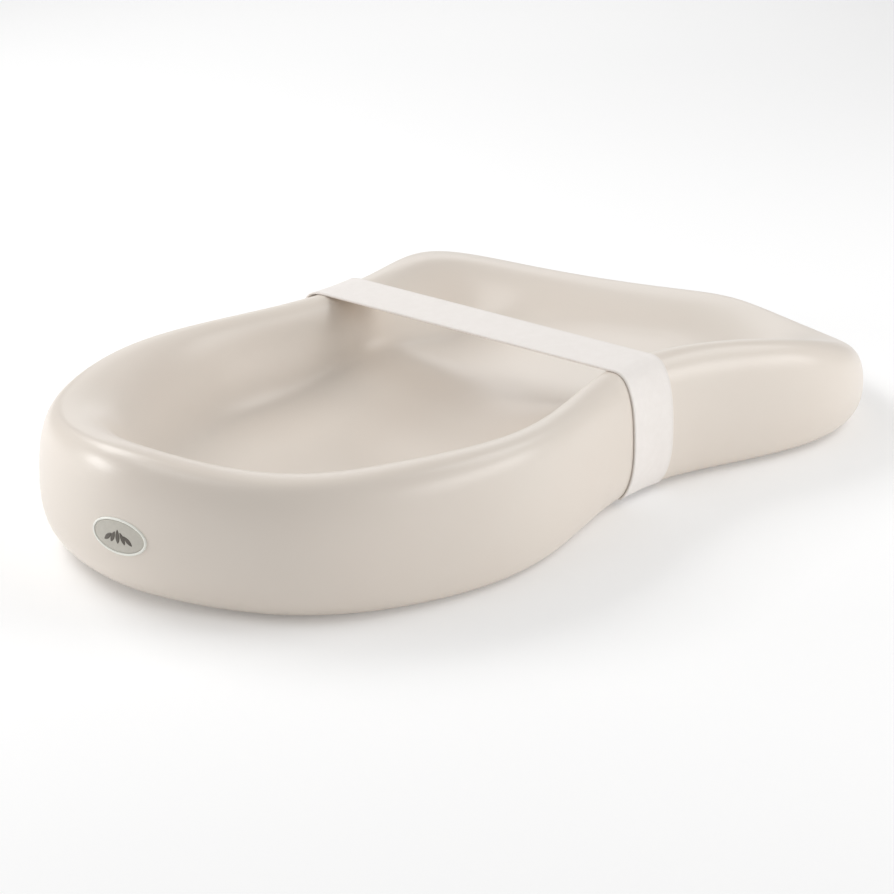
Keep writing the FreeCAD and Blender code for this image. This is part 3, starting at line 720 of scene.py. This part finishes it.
class Nodes:
    """Short calls for building a material's nodes."""

    def __init__(self, material):
        self.tree = material.node_tree
        self.shader = self.tree.nodes["Principled BSDF"]

    def add(self, kind, inputs=(), **settings):
        node = self.tree.nodes.new(kind)
        for name, value in settings.items():
            setattr(node, name, value)
        for name, value in dict(inputs).items():
            self.set(node.inputs[name], value)
        return node

    def set(self, socket, value):
        if isinstance(value, bpy.types.NodeSocket):
            self.tree.links.new(value, socket)
        else:
            socket.default_value = value

    def math(self, operation, first, second=0.0):
        return self.add("ShaderNodeMath", {0: first, 1: second}, operation=operation).outputs[0]

    def place(self):
        return self.add("ShaderNodeTexCoord").outputs["Object"]

    def noise(self, scale, detail=2.0, roughness=0.5, place=None):
        settings = {"Vector": place or self.place(), "Scale": scale}
        settings |= {"Detail": detail, "Roughness": roughness}
        return self.add("ShaderNodeTexNoise", settings).outputs["Fac"]

    def ramp(self, value, low, high, start=0.0, end=1.0):
        settings = {"Value": value, "From Min": low, "From Max": high}
        settings |= {"To Min": start, "To Max": end}
        return self.add("ShaderNodeMapRange", settings).outputs["Result"]

    def mix(self, share, first, second):
        node = self.add("ShaderNodeMix", {"Factor": share}, data_type="RGBA")
        self.set(node.inputs[6], first)
        self.set(node.inputs[7], second)
        return node.outputs[2]

    def bump(self, height, distance, strength=1.0, normal=None):
        settings = {"Height": height, "Distance": distance, "Strength": strength}
        if normal is not None:
            settings["Normal"] = normal
        return self.add("ShaderNodeBump", settings).outputs["Normal"]

    def finish(self, **inputs):
        for name, value in inputs.items():
            self.set(self.shader.inputs[name.replace("_", " ")], value)


def skin_material():
    """Satin moulded skin: a fine pebble grain, faint mottling and slow waves."""
    material = plain("skin", SKIN, SKIN_ROUGHNESS)
    nodes = Nodes(material)
    color = nodes.mix(nodes.ramp(nodes.noise(9.0, 3.0), 0.0, 1.0), SKIN_DEEP, SKIN)
    pebbles = {"Vector": nodes.place(), "Scale": PEBBLE_SCALE}
    cells = nodes.add("ShaderNodeTexVoronoi", pebbles, feature="SMOOTH_F1")
    waves_normal = nodes.bump(nodes.noise(7.0, 1.0), 1.2 * MM, 0.8)
    grain = nodes.bump(cells.outputs["Distance"], 0.06 * MM, 0.5, waves_normal)
    nodes.finish(Base_Color=color, Normal=grain)
    return material


def webbing_material():
    """Plain-woven tape: ribs across, threads along, and a thicker selvedge."""
    material = plain("webbing", WEB, 0.85)
    nodes = Nodes(material)
    uv = nodes.add("ShaderNodeUVMap", uv_map="weave").outputs["UV"]
    split = nodes.add("ShaderNodeSeparateXYZ", {"Vector": uv})
    across, along = split.outputs["X"], split.outputs["Y"]
    rib = nodes.math("SINE", nodes.math("MULTIPLY", along, 2 * math.pi / RIB_PITCH))
    thread = nodes.math("SINE", nodes.math("MULTIPLY", across, 2 * math.pi / THREAD_PITCH))
    weave = nodes.math("MULTIPLY", rib, thread)
    height = nodes.math("ADD", weave, nodes.math("MULTIPLY", rib, 0.6))
    selvedge = nodes.ramp(nodes.math("ABSOLUTE", across), *SELVEDGE)
    slub = nodes.ramp(nodes.noise(150.0, 2.0), 0.3, 0.7, 0, 0.12)
    shade = nodes.math("ADD", nodes.ramp(weave, -1, 1, 0, 0.3), slub)
    shade = nodes.math("ADD", shade, nodes.math("MULTIPLY", selvedge, 0.3))
    color = nodes.mix(shade, WEB, WEB_DEEP)
    normal = nodes.bump(height, 0.12 * MM, 0.6)
    nodes.finish(Base_Color=color, Normal=normal, Specular_IOR_Level=0.3)
    nodes.finish(Sheen_Weight=0.15, Sheen_Roughness=0.5)
    return material


def speckled(name, color, deep, scale, roughness, bump=0.0, metallic=0.0):
    """A surface whose colour and height vary at one scale."""
    material = plain(name, color, roughness)
    nodes = Nodes(material)
    speck = nodes.noise(scale, 3.0)
    mixed = nodes.mix(nodes.ramp(speck, 0.35, 0.65), color, deep)
    nodes.finish(Base_Color=mixed, Metallic=metallic)
    if bump:
        nodes.finish(Normal=nodes.bump(speck, bump, 0.8))
    return material


def board_material():
    """Birch plywood with a long grain along the board."""
    material = plain("board", PLY, 0.6)
    nodes = Nodes(material)
    stretch = {0: nodes.place(), 1: (90.0, 6.0, 60.0)}
    stretched = nodes.add("ShaderNodeVectorMath", stretch, operation="MULTIPLY")
    grain = nodes.noise(1.0, 4.0, 0.6, stretched.outputs[0])
    nodes.finish(Base_Color=nodes.mix(nodes.ramp(grain, 0.3, 0.7), PLY, PLY_DEEP))
    return material


SKIN = srgb(226, 218, 208)
SKIN_DEEP = srgb(223, 212, 201)
SKIN_ROUGHNESS = 0.31
PEBBLE_SCALE = 900.0
WEB = srgb(246, 241, 237)
WEB_DEEP = srgb(226, 219, 212)
RIB_PITCH = 1.1 * MM
THREAD_PITCH = 1.3 * MM
SELVEDGE = (23.6 * MM, 24.2 * MM)
PLY = srgb(214, 188, 148)
PLY_DEEP = srgb(180, 146, 104)
skin = skin_material()
web = webbing_material()
paint(pad, skin)
for strap in (strap_near, strap_far, strap_anchor):
    paint(strap, web)
paint(strap_stitches, plain("thread", srgb(240, 235, 229), 0.7))
paint(badge_ring, plain("badge_rim", srgb(240, 240, 232), 0.28))
PLATE_COLORS = srgb(197, 193, 183), srgb(192, 188, 178)
paint(badge_plaque, speckled("badge_plate", *PLATE_COLORS, 300.0, 0.4))
paint(badge_sprig, plain("badge_motif", srgb(98, 92, 84), 0.4))

# kind: material name, colour, deep colour, speck scale, roughness, bump and metallic
SPECKLED = {
    "insert": ("brass", (214, 178, 106), (196, 160, 92), 500.0, 0.3, 0.0, 1.0),
    "screw": ("zinc_screw", (196, 198, 202), (176, 178, 184), 400.0, 0.32, 0.0, 1.0),
    "washer": ("zinc_washer", (186, 188, 192), (168, 170, 176), 300.0, 0.38, 0.0, 1.0),
    "hook_tape": ("hook_tape", (236, 231, 224), (206, 200, 192), 1800.0, 0.8, 0.3 * MM, 0.0),
    "loop_tape": ("loop_tape", (238, 234, 228), (212, 207, 200), 1200.0, 0.95, 0.4 * MM, 0.0),
    "foot": ("foot_rubber", (72, 70, 68), (60, 58, 56), 500.0, 0.75, 0.05 * MM, 0.0),
}
FINISHES = {"anchor_board": board_material()}
for kind, (name, color, deep, *rest) in SPECKLED.items():
    FINISHES[kind] = speckled(name, srgb(*color), srgb(*deep), *rest)
for name, node in NODES.items():
    kinds = [kind for kind in FINISHES if kind in name]
    if kinds:
        paint(node, FINISHES[kinds[0]])

# ---------------------------------------------------------------- stage

FLOOR_SIZE = 12
FLOOR_GLOW = 0.12
WORLD_STRENGTH = 0.36

bpy.ops.mesh.primitive_plane_add(size=FLOOR_SIZE)
floor = bpy.context.object
floor.name = "studio_floor"
floor_paint = plain("floor", (0.9, 0.9, 0.9, 1), 0.9)
Nodes(floor_paint).finish(Emission_Color=(1, 1, 1, 1), Emission_Strength=FLOOR_GLOW)
paint(floor, floor_paint)

scene = bpy.context.scene
scene.view_settings.view_transform = "Standard"
world = bpy.data.worlds.new("studio")
scene.world = world
world.use_nodes = True
background = world.node_tree.nodes["Background"]
background.inputs["Color"].default_value = (1, 1, 1, 1)
background.inputs["Strength"].default_value = WORLD_STRENGTH


def direction(azimuth, elevation):
    """Unit direction from the object: azimuth 0 is towards -Y, and 90 towards +X, in degrees."""
    azimuth, elevation = math.radians(azimuth), math.radians(elevation)
    level = math.cos(elevation)
    return Vector((math.sin(azimuth) * level, -math.cos(azimuth) * level, math.sin(elevation)))


LIGHTS = [
    # name, azimuth, elevation, width, height, watts
    ("low_right", 20, 13, 1.9, 0.45, 14),
    ("high_right", 45, 45, 1.4, 1.0, 12),
    ("low_left", 222, 10, 0.8, 0.4, 10),
    ("high_left", 250, 50, 1.4, 1.0, 7),
    ("high_back", 190, 45, 1.4, 1.0, 21),
    ("low_back", 130, 14, 1.6, 0.6, 3),
]
LIGHT_DISTANCE = 2.2
LIT_POINT = Vector((0, 0, 0.06))
for name, light_azimuth, light_elevation, width, height, watts in LIGHTS:
    light = bpy.data.lights.new(name, "AREA")
    light.shape = "RECTANGLE"
    light.size, light.size_y = width, height
    light.energy = watts
    lamp = bpy.data.objects.new(name, light)
    scene.collection.objects.link(lamp)
    towards = direction(light_azimuth, light_elevation)
    lamp.location = LIT_POINT + towards * LIGHT_DISTANCE
    lamp.rotation_mode = "QUATERNION"
    lamp.rotation_quaternion = (-towards).to_track_quat("-Z", "Y")

CAMERA_AZIMUTH = -50.0
CAMERA_ELEVATION = 19.77
CAMERA_DISTANCE = 2.4391
SENSOR = 36
LENS = 116.5007
SEEN_POINT = Vector((0, 0, 0.05))
AIM_LEFT, AIM_DOWN = 0.01077, 0.03609
back = direction(CAMERA_AZIMUTH, CAMERA_ELEVATION)
right = Vector((math.cos(math.radians(CAMERA_AZIMUTH)), math.sin(math.radians(CAMERA_AZIMUTH)), 0))
up = back.cross(right)
camera_data = bpy.data.cameras.new("camera")
camera_data.sensor_width = SENSOR
camera_data.lens = LENS
camera = bpy.data.objects.new("camera", camera_data)
scene.collection.objects.link(camera)
camera.location = SEEN_POINT + back * CAMERA_DISTANCE
aim = SEEN_POINT - right * AIM_LEFT - up * AIM_DOWN
camera.rotation_mode = "QUATERNION"
camera.rotation_quaternion = (aim - camera.location).to_track_quat("-Z", "Y")
scene.camera = camera
